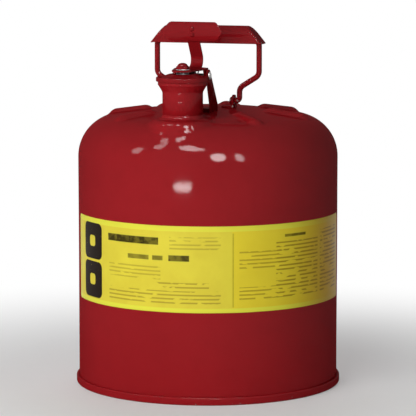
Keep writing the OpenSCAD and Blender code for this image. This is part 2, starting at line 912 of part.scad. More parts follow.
module bail_wire() {
    sides = 16;
    hook_steps = 8; // chords round the bend into the lug
    bend_steps = 6; // chords round the other bends
    right = [
        [hook_start - over, bail_z], [foot_x, bail_z], [foot_x, knee_z], [side_x, side_z],
        [side_x, slope_z], [top_x, top_z], [0, top_z]
    ];
    half = [
        right[0],
        for (p = bend_points(right[0], right[1], right[2], hook_r, hook_steps)) p,
        for (i = [2 : 5])
            for (p = bend_points(right[i - 1], right[i], right[i + 1], bend_r, bend_steps)) p
    ];
    last = len(half) - 1;
    path = concat(
        [for (i = [0 : last]) [half[i][0], 0, half[i][1]]],
        [for (i = [last : -1 : 0]) [-half[i][0], 0, half[i][1]]]
    );
    color("firebrick") {
        wire_sweep(path, wire_r - swept_less, sides, [0, 1, 0]);
        for (s = [0, 1])
            mirror([s, 0, 0]) translate([0, 0, bail_z]) {
                x_bar(hook_x, hook_start - over / 2, wire_r);
                x_bar(hook_x, hook_x + peen_t, peen_r);
            }
    }
}

// Front view of the grip, drawn inwards by `inset`; its ends follow the wire's slope
module grip_front(inset) {
    run = (side_x - top_x) / slope_h;
    off = (grip_off - inset) * slope_len / slope_h;
    low = grip_top - grip_h - (inset > 0 ? over : 0);
    high = grip_top - inset;
    low_x = side_x + off - (low - slope_z) * run;
    high_x = side_x + off - (high - slope_z) * run;
    polygon([[-low_x, low], [-high_x, high], [high_x, high], [low_x, low]]);
}

// Side view of the grip: an upside-down U
module grip_side(inset) {
    r = grip_d / 2 - inset;
    mid = grip_top - grip_d / 2;
    translate([0, mid]) circle(r);
    translate([-r, grip_top - grip_h - over]) square([2 * r, mid - grip_top + grip_h + over]);
}

module grip_solid(inset) {
    intersection() {
        y_sheet(-grip_d, grip_d) grip_front(inset);
        x_sheet(-2 * side_x, 2 * side_x) grip_side(inset);
    }
}

module grip() {
    color("firebrick")
        difference() {
            grip_solid(0);
            grip_solid(grip_t);
        }
}

// ------------------------------------------------------------------------- lugs

module bail_lug() {
    low = dome_z(foot_x + lug_foot) - over;
    x0 = lug_out_x - lug_t;
    difference() {
        union() {
            x_sheet(x0, lug_out_x) {
                translate([0, bail_z]) circle(lug_r, $fn = fine);
                translate([-lug_r, low]) square([2 * lug_r, bail_z - low]);
            }
            translate([lug_out_x - lug_foot, -lug_r, low])
                cube([lug_foot, 2 * lug_r, dome_z(foot_x) + lug_t - low]);
        }
        translate([0, 0, bail_z]) x_bar(0, 2 * foot_x, wire_r + run_gap);
        body_solid(-fix_gap);
        // Room for the peened end of the wire
        translate([0, 0, bail_z]) x_bar(0, x0, peen_r + side_gap);
    }
}

module bail_lug_right() {
    color("firebrick") bail_lug();
}

module bail_lug_left() {
    color("firebrick") mirror([1, 0, 0]) bail_lug();
}

body_shell();
bottom_pan();
bottom_chime();
label_band();
neck_collar();
spout_neck();
arrester_flange();
arrester_tube();
arrester_mesh();
arrester_end_cap();
hinge_bracket();
hinge_pin();
pin_clip();
lever_spring();
trigger_lever();
trigger_plate();
trigger_rivets();
cap_shell();
cap_gasket();
gasket_retainer();
cap_stud();
relief_spring();
stud_washer();
acorn_nut();
bail_wire();
grip();
bail_lug_left();
bail_lug_right();
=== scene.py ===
import math

import bmesh
import bpy
import numpy as np
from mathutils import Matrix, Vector


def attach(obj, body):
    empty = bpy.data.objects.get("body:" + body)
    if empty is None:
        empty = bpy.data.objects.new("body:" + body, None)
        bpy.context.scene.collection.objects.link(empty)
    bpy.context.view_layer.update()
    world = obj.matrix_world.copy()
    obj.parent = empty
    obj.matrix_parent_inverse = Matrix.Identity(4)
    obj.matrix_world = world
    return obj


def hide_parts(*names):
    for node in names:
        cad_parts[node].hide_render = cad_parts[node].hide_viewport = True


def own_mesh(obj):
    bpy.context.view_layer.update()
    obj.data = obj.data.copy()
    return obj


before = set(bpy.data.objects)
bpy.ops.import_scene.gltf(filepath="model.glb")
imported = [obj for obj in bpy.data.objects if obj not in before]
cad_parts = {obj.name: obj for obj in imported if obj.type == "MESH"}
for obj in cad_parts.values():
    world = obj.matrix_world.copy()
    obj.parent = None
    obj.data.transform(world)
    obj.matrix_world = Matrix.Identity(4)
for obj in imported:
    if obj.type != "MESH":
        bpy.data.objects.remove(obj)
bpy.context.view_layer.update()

# The pieces are written in millimetres in the CAD frame and made in metres.
MM = 0.001

# ------------------------------------------------------------------ camera

VIEW_TURN = math.radians(16.6)  # from the spout's direction towards +X
VIEW_RISE = math.radians(7.5)
VIEW_FAR = 3.0
AIM = Vector((0.0, 0.0, 0.2))

camera_data = bpy.data.cameras.new("camera")
camera_data.lens = 226
camera_data.sensor_width = 36
camera_data.sensor_fit = "HORIZONTAL"
camera = bpy.data.objects.new("camera", camera_data)
bpy.context.scene.collection.objects.link(camera)
away = Vector((
    math.sin(VIEW_TURN) * math.cos(VIEW_RISE),
    -math.cos(VIEW_TURN) * math.cos(VIEW_RISE),
    math.sin(VIEW_RISE),
))
camera.location = AIM + VIEW_FAR * away
camera.rotation_euler = (-away).to_track_quat("-Z", "Y").to_euler()
bpy.context.scene.camera = camera
bpy.context.scene.view_settings.view_transform = "Standard"

# ------------------------------------------------------------------ sizes (mm)

BODY_R, WALL = 148.5, 0.8
# The dome is a shallow crown inside a round shoulder.
SHOULDER_R, SHOULDER_X, SHOULDER_Z = 48.0, 100.5, 261.0
CROWN_R = 645.0
DOME_RISE = CROWN_R - math.sqrt((CROWN_R - SHOULDER_R) ** 2 - SHOULDER_X ** 2)
CROWN_Z = SHOULDER_Z + DOME_RISE - CROWN_R
CROWN_TURN = math.asin(SHOULDER_X / (CROWN_R - SHOULDER_R))


def dome_z(r):
    """Height of the crown at a radius."""
    return CROWN_Z + math.sqrt(CROWN_R ** 2 - r ** 2)


# The neck, and what lies over its lip up to the lever's arm
NECK_Y, NECK_R, NECK_IN = 98.0, 22.5, 20.0
PAD_Z = dome_z(NECK_Y) + 2.0
LIP_Z = PAD_Z + 42.5
LEDGE_Z = LIP_Z - 7.0
GASKET_Z = LIP_Z + 0.2
CAP_Z = GASKET_Z + 2.8
CAP_T = 1.2
ARM_Z = CAP_Z + CAP_T + 5.5
LEVER_T = 1.8
# The hinge: its pin's axis, its ears and the foot of its bracket
PIVOT_Y, PIVOT_Z = 35.0 - NECK_Y, LIP_Z + 3.0
EAR_OUT = 20.1
BRACKET_FOOT_Y = PIVOT_Y + 24.0
BRACKET_FOOT_Z = dome_z(0) + 2.0
# The bail from its ends in the lugs up to the grip
LEG_X, SIDE_X, TOP_X = 37.5, 60.5, 47.5
BAIL_Z = dome_z(LEG_X) + 8.0
KNEE_Z = BAIL_Z + 15.0
SIDE_Z = KNEE_Z + 14.5
SLOPE_Z = SIDE_Z + 36.0
SLOPE_H, GRIP_H = 16.0, 20.0
TOP_Z = SLOPE_Z + SLOPE_H
WIRE_R = 3.175
GRIP_OFF = WIRE_R + 1.05
GRIP_TOP = TOP_Z + GRIP_OFF
GRIP_LOW = GRIP_TOP - GRIP_H
# The label, with its ends in degrees from the spout's direction
LABEL_LOW, LABEL_HIGH = 103.0, 199.0
LABEL_LEFT, LABEL_RIGHT = -60.0, 96.0

# ------------------------------------------------------------------ mesh tools


def make(name, verts, faces, body, material, replaces):
    """A smooth mesh piece from points in mm that rides on a body."""
    mesh = bpy.data.meshes.new(name)
    mesh.from_pydata([tuple(MM * c for c in v) for v in verts], [], faces)
    mesh.validate()
    mesh.update()
    mesh.polygons.foreach_set("use_smooth", [True] * len(mesh.polygons))
    mesh.materials.append(material)
    piece = bpy.data.objects.new(name, mesh)
    bpy.context.scene.collection.objects.link(piece)
    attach(piece, body)
    if replaces:
        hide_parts(*replaces)
    return piece


def sheet_faces(rows, cols):
    """Faces of a grid of (rows + 1) by (cols + 1) points."""
    n = cols + 1
    return [
        (j * n + i, j * n + i + 1, (j + 1) * n + i + 1, (j + 1) * n + i)
        for j in range(rows) for i in range(cols)
    ]


def ring_faces(segs, n):
    """Faces between segs copies of a closed outline of n points, closed into a ring."""
    return [
        (k * n + i, k * n + (i + 1) % n, (k + 1) % segs * n + (i + 1) % n, (k + 1) % segs * n + i)
        for k in range(segs) for i in range(n)
    ]


def pipe_faces(rows, sides):
    """Faces between rows of a round section, open at both ends."""
    return [
        (i * sides + k, i * sides + (k + 1) % sides, (i + 1) * sides + (k + 1) % sides, (i + 1) * sides + k)
        for i in range(rows - 1) for k in range(sides)
    ]


def outward(piece, merge=False):
    """Makes the faces of a mesh point the same way, which is outwards if it is closed.

    merge first joins the points that fall together on the axis of a turned piece.
    """
    bm = bmesh.new()
    bm.from_mesh(piece.data)
    if merge:
        bmesh.ops.remove_doubles(bm, verts=bm.verts, dist=1e-6)
        bmesh.ops.dissolve_degenerate(bm, edges=bm.edges, dist=1e-7)
    bmesh.ops.recalc_face_normals(bm, faces=bm.faces)
    bm.to_mesh(piece.data)
    bm.free()
    return piece


def round_corner(before, corner, after, r, steps, share=1.0):
    """Points round a corner of a path, on an arc of radius r.

    The arc is smaller where it would take up more than this share of a side.
    """
    before, corner, after = (np.array(p, float) for p in (before, corner, after))
    a, b = before - corner, after - corner
    la, lb = np.linalg.norm(a), np.linalg.norm(b)
    if r <= 0 or la < 1e-9 or lb < 1e-9:
        return [corner]
    a, b = a / la, b / lb
    half = math.acos(max(-1.0, min(1.0, float(a @ b)))) / 2
    if half < 1e-3 or half > math.pi / 2 - 1e-3:
        return [corner]
    reach = min(r / math.tan(half), share * la, share * lb)
    r = reach * math.tan(half)
    mid = (a + b) / np.linalg.norm(a + b)
    centre = corner + mid * r / math.sin(half)
    start = corner + a * reach - centre
    end = corner + b * reach - centre
    turn = math.acos(max(-1.0, min(1.0, float(start @ end) / r ** 2)))
    points = []
    for k in range(steps + 1):
        t = k / steps
        v = (math.sin((1 - t) * turn) * start + math.sin(t * turn) * end) / math.sin(turn)
        points.append(centre + v)
    return points


def rounded(corners, steps):
    """A closed outline from (radius or x, height, corner radius), each corner rounded."""
    points = []
    for i, (x, z, r) in enumerate(corners):
        before, after = corners[i - 1][:2], corners[(i + 1) % len(corners)][:2]
        points += round_corner(before, (x, z), after, r, steps, 0.49)
    return points


def revolve(name, outline, centre, body, material, segs, replaces, axis="Z"):
    """Turns a closed (radius, height) outline about an axis through centre."""
    verts = []
    for k in range(segs):
        a = 2 * math.pi * k / segs
        for r, h in outline:
            u, v = r * math.cos(a), r * math.sin(a)
            if axis == "Z":
                verts.append((centre[0] + u, centre[1] + v, h))
            elif axis == "X":
                verts.append((h, centre[0] + u, centre[1] + v))
            else:
                verts.append((centre[0] + u, h, centre[1] + v))
    faces = ring_faces(segs, len(outline))
    outward(make(name, verts, faces, body, material, replaces), merge=True)


def tube(name, path, radius, body, material, sides, ref=(0, 0, 1), replaces=(), ends=True):
    """A round wire along a smooth path. Its ends are rounded unless ends is False."""
    pts = np.array(path, float)
    radii = np.full(len(pts), float(radius))
    if ends:
        t0 = (pts[0] - pts[1]) / np.linalg.norm(pts[0] - pts[1])
        t1 = (pts[-1] - pts[-2]) / np.linalg.norm(pts[-1] - pts[-2])
        soft = 0.35 * radius
        pts = np.vstack([pts[0], pts[0], pts, pts[-1], pts[-1]])
        pts[0] += t0 * soft
        pts[1] += t0 * soft * 0.7
        pts[-1] += t1 * soft
        pts[-2] += t1 * soft * 0.7
        radii = np.concatenate([[0.55 * radius, 0.85 * radius], radii, [0.85 * radius, 0.55 * radius]])
    tangents = np.zeros_like(pts)
    tangents[1:-1] = pts[2:] - pts[:-2]
    tangents[0], tangents[-1] = pts[1] - pts[0], pts[-1] - pts[-2]
    tangents /= np.linalg.norm(tangents, axis=1)[:, None]
    up = np.array(ref, float)
    if abs(tangents[0] @ up) > 0.95:
        up = np.array([1.0, 0.0, 0.0])
    side = np.cross(tangents[0], up)
    verts = []
    for point, r, t in zip(pts, radii, tangents):
        side = side - t * (side @ t)
        side /= np.linalg.norm(side)
        over = np.cross(t, side)
        for k in range(sides):
            a = 2 * math.pi * k / sides
            verts.append(tuple(point + r * (math.cos(a) * side + math.sin(a) * over)))
    last = len(verts) - sides
    faces = [tuple(range(sides)), tuple(range(last, last + sides))]
    faces += pipe_faces(len(pts), sides)
    return outward(make(name, verts, faces, body, material, replaces))


def thicken(piece, thickness, offset=-1):
    """Makes a surface a sheet this many mm thick, inwards for an offset of -1."""
    m = piece.modifiers.new("sheet", "SOLIDIFY")
    m.thickness = thickness * MM
    m.offset = offset


def round_edges(piece, width, segments, angle):
    """Rounds the edges that are sharper than an angle in degrees."""
    m = piece.modifiers.new("edge", "BEVEL")
    m.width = width * MM
    m.segments = segments
    m.limit_method = "ANGLE"
    m.angle_limit = math.radians(angle)


def even_shading(piece):
    """Keeps the shading of flat faces flat beside rounded edges."""
    m = piece.modifiers.new("even", "WEIGHTED_NORMAL")
    m.weight = 60


def dress_cad(node, material, edge=0.0):
    """Gives a CAD node its finish, and edges rounded by edge mm where it is cut sheet."""
    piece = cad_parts[node]
    piece.data.materials.clear()
    piece.data.materials.append(material)
    if edge:
        weld = piece.modifiers.new("weld", "WELD")
        weld.merge_threshold = 1e-6
        round_edges(piece, edge, 2, 35)
        even_shading(piece)


# ------------------------------------------------------------------ materials


class Shader:
    """A material's nodes, with short calls for what is used here."""

    def __init__(self, name):
        self.material = bpy.data.materials.new(name)
        self.material.use_nodes = True
        self.nodes = self.material.node_tree.nodes
        self.links = self.material.node_tree.links
        self.nodes.clear()
        self.out = self.nodes.new("ShaderNodeOutputMaterial")
        self.bsdf = self.nodes.new("ShaderNodeBsdfPrincipled")
        self.links.new(self.bsdf.outputs[0], self.out.inputs[0])
        self.coords = self.nodes.new("ShaderNodeTexCoord").outputs["Object"]
        self._xyz = None

    def put(self, socket, value):
        """Links a socket to another one, or sets its own value."""
        if isinstance(value, bpy.types.NodeSocket):
            self.links.new(value, socket)
        else:
            socket.default_value = value

    def math(self, operation, *values, clamp=False):
        node = self.nodes.new("ShaderNodeMath")
        node.operation = operation
        node.use_clamp = clamp
        for socket, value in zip(node.inputs, values):
            self.put(socket, value)
        return node.outputs[0]

    def xyz(self):
        if self._xyz is None:
            node = self.nodes.new("ShaderNodeSeparateXYZ")
            self.links.new(self.coords, node.inputs[0])
            self._xyz = node.outputs
        return self._xyz

    def noise(self, scale, detail, roughness=0.5, stretch=None):
        """Noise with this many cells to the metre, stretched per axis if asked."""
        node = self.nodes.new("ShaderNodeTexNoise")
        node.inputs["Scale"].default_value = scale
        node.inputs["Detail"].default_value = detail
        node.inputs["Roughness"].default_value = roughness
        source = self.coords
        if stretch:
            mapping = self.nodes.new("ShaderNodeMapping")
            mapping.inputs["Scale"].default_value = stretch
            self.links.new(source, mapping.inputs[0])
            source = mapping.outputs[0]
        self.links.new(source, node.inputs["Vector"])
        return node.outputs["Fac"]

    def ramp(self, value, low, high, a=0.0, b=1.0):
        """Goes smoothly from a to b as value goes from low to high."""
        node = self.nodes.new("ShaderNodeMapRange")
        node.interpolation_type = "SMOOTHSTEP"
        self.put(node.inputs["Value"], value)
        node.inputs["From Min"].default_value = low
        node.inputs["From Max"].default_value = high
        node.inputs["To Min"].default_value = a
        node.inputs["To Max"].default_value = b
        return node.outputs[0]

    def mix(self, factor, a, b):
        node = self.nodes.new("ShaderNodeMix")
        node.data_type = "RGBA"
        self.put(node.inputs["Factor"], factor)
        self.put(node.inputs["A"], a)
        self.put(node.inputs["B"], b)
        return node.outputs["Result"]

    def bump(self, height, distance, strength, normal=None):
        """A normal bent by a height of 0 to 1, which stands for a distance in metres."""
        node = self.nodes.new("ShaderNodeBump")
        node.inputs["Distance"].default_value = distance
        node.inputs["Strength"].default_value = strength
        self.links.new(height, node.inputs["Height"])
        if normal is not None:
            self.links.new(normal, node.inputs["Normal"])
        return node.outputs[0]

    def length(self, x, y):
        squares = (self.math("MULTIPLY", value, value) for value in (x, y))
        return self.math("SQRT", self.math("ADD", *squares))

    def highest(self, values):
        top = values[0]
        for value in values[1:]:
            top = self.math("MAXIMUM", top, value)
        return top

    def set(self, **values):
        """Sets the surface's sockets, written with _ for a space."""
        for name, value in values.items():
            self.put(self.bsdf.inputs[name.replace("_", " ")], value)

    def band(self, value, low, high, soft):
        """1 between low and high, with soft edges."""
        rise = self.ramp(value, low - soft, low + soft)
        fall = self.ramp(value, high - soft, high + soft)
        return self.math("SUBTRACT", rise, fall, clamp=True)


def rgb(r, g, b):
    return (r, g, b, 1.0)


def red_paint(name, chips=None, rough=0.22, waves=None, shade_factor=1.0):
    """Baked-on red powder coat with a fine orange peel.

    chips(shader) gives worn places, and waves(shader) where the sheet is slightly wavy.
    A depth below 1 darkens the whole coat, as painted shade.
    """
    # Every red is scaled by depth: painted shade.
    def red(r, g, b):
        return rgb(shade_factor * r, shade_factor * g, shade_factor * b)

    s = Shader(name)
    broad = s.noise(9.0, 3.0)
    cloud = s.noise(55.0, 4.0, 0.6)
    tone = s.mix(s.ramp(broad, 0.3, 0.7), red(0.285, 0.0075, 0.0110), red(0.315, 0.0090, 0.0130))
    tone = s.mix(s.ramp(cloud, 0.45, 0.75, 0.0, 0.35), tone, red(0.265, 0.0070, 0.0100))
    roughness = s.ramp(cloud, 0.3, 0.75, rough - 0.02, rough + 0.05)
    peel = s.noise(420.0, 3.0, 0.45)
    ripple = s.noise(90.0, 2.0, 0.5)
    normal = s.bump(ripple, 0.00020, 0.30)
    if waves:
        dents = s.math("MULTIPLY", s.noise(62.0, 1.0, 0.4), waves(s))
        normal = s.bump(dents, 0.0020, 0.8, normal)
    normal = s.bump(peel, 0.00005, 0.45, normal)
    if chips:
        worn = chips(s)
        tone = s.mix(worn, tone, rgb(0.30, 0.27, 0.25))
        roughness = s.math("ADD", roughness, s.math("MULTIPLY", worn, 0.15))
        normal = s.bump(s.math("SUBTRACT", 1.0, worn), 0.00012, 0.6, normal)
        s.set(Metallic=s.math("MULTIPLY", worn, 0.8))
    s.set(Base_Color=tone, Roughness=roughness, Normal=normal, Coat_Normal=normal)
    # The gloss is a weak coat of high index, which reflects evenly up to the outline.
    s.set(Specular_IOR_Level=0.0, Coat_Weight=0.022, Coat_IOR=3.5, Coat_Roughness=0.07)
    return s.material


def chip_zone(zone, low, high, scale=260.0):
    """Chips where zone(shader) is 1, which start where a fine noise is over low."""
    def worn(s):
        spots = s.ramp(s.noise(scale, 5.0, 0.62), low, high)
        return s.math("MULTIPLY", spots, zone(s))
    return worn


def bright_metal(name, colour, rough, grain, blue=0.0):
    """Plated or plain steel with a fine grain."""
    s = Shader(name)
    fine = s.noise(grain, 3.0, 0.6)
    cloud = s.noise(70.0, 4.0, 0.6)
    dark = tuple(c * 0.72 for c in colour)
    tint = (colour[0] * (1 - blue), colour[1], colour[2] * (1 + blue))
    tone = s.mix(s.ramp(cloud, 0.35, 0.7), rgb(*tint), rgb(*dark))
    roughness = s.ramp(fine, 0.3, 0.7, rough - 0.07, rough + 0.1)
    s.set(Base_Color=tone, Roughness=roughness, Normal=s.bump(fine, 0.00004, 0.5), Metallic=1.0)
    return s.material


def level_zone(low, high, soft):
    """A zone between two heights in mm, with edges that are soft by this many mm."""
    def zone(s):
        return s.band(s.xyz()[2], MM * low, MM * high, MM * soft)
    return zone


def neck_zone(s):
    """1 on the dome's sheet beside the neck, which the soldering has pulled a little."""
    x, y, z = s.xyz()
    off = s.length(x, s.math("ADD", y, MM * NECK_Y))
    beside = s.ramp(off, MM * 32, MM * 56, 1.0, 0.0)
    return s.math("MULTIPLY", beside, s.ramp(z, MM * 272, MM * 282))


def bail_feet_zone(s):
    """1 on the bail's legs just above the lugs."""
    x, z = s.math("ABSOLUTE", s.xyz()[0]), s.xyz()[2]
    low = s.ramp(z, MM * (BAIL_Z + 3), MM * (BAIL_Z + 9), 1.0, 0.0)
    return s.math("MULTIPLY", low, s.ramp(x, MM * 29, MM * 31))


FOOT_CHIPS = chip_zone(level_zone(-1.0, 3.5, 1.5), 0.66, 0.69)
GRIP_CHIPS = chip_zone(level_zone(GRIP_LOW - 2.0, GRIP_LOW + 2.5, 2.0), 0.64, 0.67, 180.0)
LIP_CHIPS = chip_zone(level_zone(LIP_Z - 4.6, LIP_Z - 2.8, 0.8), 0.66, 0.70, 300.0)
BAIL_CHIPS = chip_zone(bail_feet_zone, 0.58, 0.62, 220.0)
RED_BODY = red_paint("red_body", waves=neck_zone)
RED_FOOT = red_paint("red_foot", FOOT_CHIPS)
# The parts', grip's and bail's coats are painted darker than the body's red: painted shade.
SHADED_RED_PARTS = red_paint("shaded_red_parts", rough=0.24, shade_factor=0.80)
SHADED_RED_GRIP = red_paint("shaded_red_grip", GRIP_CHIPS, shade_factor=0.85)
RED_NECK = red_paint("red_neck", LIP_CHIPS)
SHADED_RED_BAIL = red_paint("shaded_red_bail", BAIL_CHIPS, rough=0.24, shade_factor=0.85)
ZINC = bright_metal("zinc", (0.40, 0.40, 0.39), 0.38, 900.0, blue=0.03)
SPRING = bright_metal("spring_wire", (0.24, 0.24, 0.25), 0.32, 1500.0)


def woven_mesh():
    """Woven steel wire: round wires that pass over and under each other, with painted shade in the gaps
    between them.
    """
    s = Shader("woven_mesh")
    x, y, z = s.xyz()
    pitch, sleeve_r = 1.1 * MM, 16.2 * MM
    turn = s.math("ARCTAN2", x, s.math("ADD", y, MM * NECK_Y))
    around = s.math("MULTIPLY", turn, sleeve_r / pitch * math.pi)
    along = s.math("MULTIPLY", z, math.pi / pitch)
    a = s.math("ABSOLUTE", s.math("SINE", around))
    b = s.math("ABSOLUTE", s.math("SINE", along))
    top = s.math("MAXIMUM", a, b)
    # The gaps between the wires are painted near black: painted shade for the dark inside seen through
    # them.
    shaded_gaps = s.ramp(top, 0.55, 0.75, 1.0, 0.0)
    tone = s.mix(shaded_gaps, rgb(0.52, 0.52, 0.5), rgb(0.015, 0.015, 0.015))
    s.set(Base_Color=tone, Normal=s.bump(top, 0.0003, 0.9), Metallic=1.0, Roughness=0.38)
    return s.material


def black_rubber():
    """Matt black rubber with a little bloom."""
    s = Shader("rubber")
    fine = s.noise(1200.0, 3.0)
    cloud = s.noise(120.0, 3.0)
    s.set(
        Base_Color=s.mix(cloud, rgb(0.018, 0.018, 0.018), rgb(0.04, 0.038, 0.036)),
        Roughness=s.ramp(cloud, 0.3, 0.7, 0.62, 0.8),
        Normal=s.bump(fine, 0.00005, 0.6),
    )
    return s.material


def label_film():
    """A satin yellow band with blank black frames and rules where print would be.

    Places along the band are in degrees from the spout, and places up it in mm.
    """
    s = Shader("label_film")
    x, y, z = s.xyz()
    turn = s.math("ARCTAN2", x, s.math("MULTIPLY", y, -1.0))
    u = s.math("MULTIPLY", turn, BODY_R)  # mm along the band from the spout
    v = s.math("SUBTRACT", s.math("MULTIPLY", z, 1 / MM), LABEL_LOW)  # mm up the band
    high = LABEL_HIGH - LABEL_LOW
    cloud = s.noise(26.0, 4.0, 0.6)
    fibre = s.noise(240.0, 3.0, 0.5)
    tone = s.mix(s.ramp(cloud, 0.3, 0.7), rgb(0.80, 0.69, 0.060), rgb(0.75, 0.63, 0.053))

    def arc(degrees):
        return math.radians(degrees) * BODY_R

    # Paler strips along both edges, and a warmer field past the divider at the right
    between = s.band(v, 5.0, high - 6.0, 0.2)
    edge = s.math("SUBTRACT", 1.0, between, clamp=True)
    tone = s.mix(s.math("MULTIPLY", edge, 0.7), tone, rgb(0.82, 0.82, 0.070))
    field = s.math("MULTIPLY", s.ramp(u, arc(26.7), arc(27.2)), between)
    tone = s.mix(s.math("MULTIPLY", field, 0.5), tone, rgb(0.88, 0.68, 0.020))
    # Towards the band's right end the yellow darkens smoothly to ochre: painted shade.
    tone = s.mix(s.ramp(u, arc(48), arc(84), 0.0, 0.75), tone, rgb(0.53, 0.26, 0.022))

    def box(cu, cv, hu, hv, r):
        """1 inside a box with round corners."""
        du = s.math("SUBTRACT", s.math("ABSOLUTE", s.math("SUBTRACT", u, cu)), hu - r)
        dv = s.math("SUBTRACT", s.math("ABSOLUTE", s.math("SUBTRACT", v, cv)), hv - r)
        far = s.length(s.math("MAXIMUM", du, 0.0), s.math("MAXIMUM", dv, 0.0))
        return s.ramp(far, r - 0.25, r + 0.25, 1.0, 0.0)

    def frame_ring(cu, cv):
        """A heavy frame with a blank window."""
        outer, window = box(cu, cv, 20.2, 20.4, 7.0), box(cu, cv, 6.2, 6.2, 3.4)
        return s.math("SUBTRACT", outer, window, clamp=True)

    patchy = s.ramp(s.noise(110.0, 3.0, 0.5), 0.36, 0.60, 0.82, 1.0)

    def rule(a, b, low, top, weight):
        """A blank bar in slightly patchy ink."""
        bar = s.math("MULTIPLY", s.band(u, arc(a), arc(b), 0.3), s.band(v, low, top, 0.25))
        return s.math("MULTIPLY", s.math("MULTIPLY", bar, patchy), weight)

    heavy = [
        frame_ring(arc(-44), 26.5), frame_ring(arc(-44), 70.0),
        rule(-31.6, -5, 74.5, 82.5, 0.95), rule(-20, -9.5, 57.5, 62.5, 0.72),
        rule(-7.8, -3, 57.5, 62.5, 0.72), rule(-0.4, 8.6, 57.0, 63.5, 0.92),
        rule(51.4, 63.4, 81.0, 84.0, 0.8), rule(27, 27.6, 6.0, 88.0, 0.34),
    ]
    # Columns of fine rules with ragged ends
    fine = []
    lines = s.band(s.math("FRACT", s.math("DIVIDE", v, 4.3)), 0.30, 0.72, 0.06)
    ragged = s.ramp(s.noise(70.0, 2.0, 0.5, (1.0, 1.0, 3.0)), 0.40, 0.46)
    for a, b, low, top, weight in (
        (-31, -4, 36.0, 52.0, 0.34), (-6, 17, 26.5, 34.5, 0.46), (-31, 22, 9.0, 24.0, 0.46),
        (0, 22, 70.0, 84.0, 0.34), (30, 47, 48.0, 70.0, 0.46), (30, 47, 12.0, 28.0, 0.5),
        (47, 72, 12.0, 76.0, 0.62), (74, 92, 12.0, 84.0, 0.62),
    ):
        column = s.math("MULTIPLY", s.band(u, arc(a), arc(b), 0.4), s.band(v, low, top, 0.3))
        part = s.math("MULTIPLY", s.math("MULTIPLY", lines, column), ragged)
        fine.append(s.math("MULTIPLY", part, weight))
    worn = s.ramp(s.noise(330.0, 4.0, 0.6), 0.66, 0.72, 1.0, 0.7)
    ink = s.math("MULTIPLY", s.highest(heavy), worn)
    tone = s.mix(s.highest(fine), tone, rgb(0.20, 0.09, 0.010))
    tone = s.mix(ink, tone, rgb(0.012, 0.006, 0.003))
    roughness = s.math("ADD", s.ramp(cloud, 0.3, 0.7, 0.34, 0.44), s.math("MULTIPLY", ink, 0.08))
    ripple = s.noise(60.0, 2.0)
    normal = s.bump(fibre, 0.00003, 0.5, s.bump(ripple, 0.0003, 0.3))
    s.set(Base_Color=tone, Roughness=roughness, Normal=normal, Specular_IOR_Level=0.05)
    return s.material


LABEL = label_film()
MESH = woven_mesh()
RUBBER = black_rubber()

# ------------------------------------------------------------------ body


def smooth_min(a, b, k):
    """The lower of two distances, with the join blended over about k."""
    h = np.clip(0.5 + 0.5 * (b - a) / k, 0.0, 1.0)
    return b + (a - b) * h - k * h * (1 - h)


RIB_R, RIB_H, RIB_BLEND = 12.0, 4.0, 2.2
RIB_START, RIB_END, RIB_STEPS = 75.0, 108.0, 8
PAD_R, PAD_EDGE, PAD_DEEP = 36.0, 7.0, 30.0
PAD_DROP, PAD_FLARE = 38.0, 3.0


def body_distance(p):
    """Distance of points from the pressed body, negative inside it."""
    x, y, z = p[:, 0], p[:, 1], p[:, 2]
    r = np.hypot(x, y)
    crown = np.hypot(r, z - CROWN_Z) - CROWN_R
    shoulder = np.hypot(r - SHOULDER_X, z - SHOULDER_Z) - SHOULDER_R
    side = r - BODY_R
    in_crown = np.arctan2(r, z - CROWN_Z) < CROWN_TURN
    d = np.where(in_crown, crown, np.where(z > SHOULDER_Z, shoulder, side))
    # The pad round the neck, with a rounded edge and a side that flares downwards
    low = np.clip(PAD_Z - PAD_EDGE - z, 0.0, PAD_DROP)
    across = np.hypot(x, y + NECK_Y) - PAD_R - low * PAD_FLARE / PAD_DROP + PAD_EDGE
    above = z - PAD_Z + PAD_EDGE
    corner = np.hypot(np.maximum(across, 0), np.maximum(above, 0))
    pad = corner + np.minimum(np.maximum(across, above), 0) - PAD_EDGE
    pad = np.maximum(pad, PAD_Z - PAD_DEEP - z)
    # Its join with the dome is softer further down.
    k = np.clip(1.2 + (PAD_Z - z) * 0.45, 1.2, 6.0)
    d = smooth_min(d, pad, k)
    # The ribs
    z_in = dome_z(RIB_START) + RIB_H - RIB_R
    z_out = dome_z(RIB_END) + RIB_H - RIB_R
    for i in range(1, RIB_STEPS):
        a = -math.pi / 2 + i * 2 * math.pi / RIB_STEPS
        start = np.array([RIB_START * math.cos(a), RIB_START * math.sin(a), z_in])
        end = np.array([RIB_END * math.cos(a), RIB_END * math.sin(a), z_out])
        run = end - start
        t = np.clip((p - start) @ run / (run @ run), 0.0, 1.0)
        rib = np.linalg.norm(p - start - t[:, None] * run, axis=1) - RIB_R
        d = smooth_min(d, rib, RIB_BLEND)
    return d


def cast(base, normal):
    """Where rays that come in along the normals meet the pressed body."""
    reach = 22.0  # mm, past every pressed form
    t = np.full(len(base), reach)
    for _ in range(60):
        t -= 0.8 * body_distance(base + t[:, None] * normal)
    t = np.maximum(t, -0.5)
    return base + t[:, None] * normal


def body_rows():
    """The plain body's outline from the top down, as (radius, height, normal out, normal up)."""
    rows = []
    for k in range(1, 61):
        a = CROWN_TURN * k / 60
        u, v = math.sin(a), math.cos(a)
        rows.append((CROWN_R * u, CROWN_Z + CROWN_R * v, u, v))
    for k in range(1, 37):
        a = CROWN_TURN + (math.pi / 2 - CROWN_TURN) * k / 36
        u, v = math.sin(a), math.cos(a)
        rows.append((SHOULDER_X + SHOULDER_R * u, SHOULDER_Z + SHOULDER_R * v, u, v))
    for z in (256, 248, 238, 228, 218, 208, 199, 180, 160, 140, 120, 103, 88, 70, 50, 30, 16, 10, 5, 1.6):
        rows.append((BODY_R, z, 1.0, 0.0))
    return rows


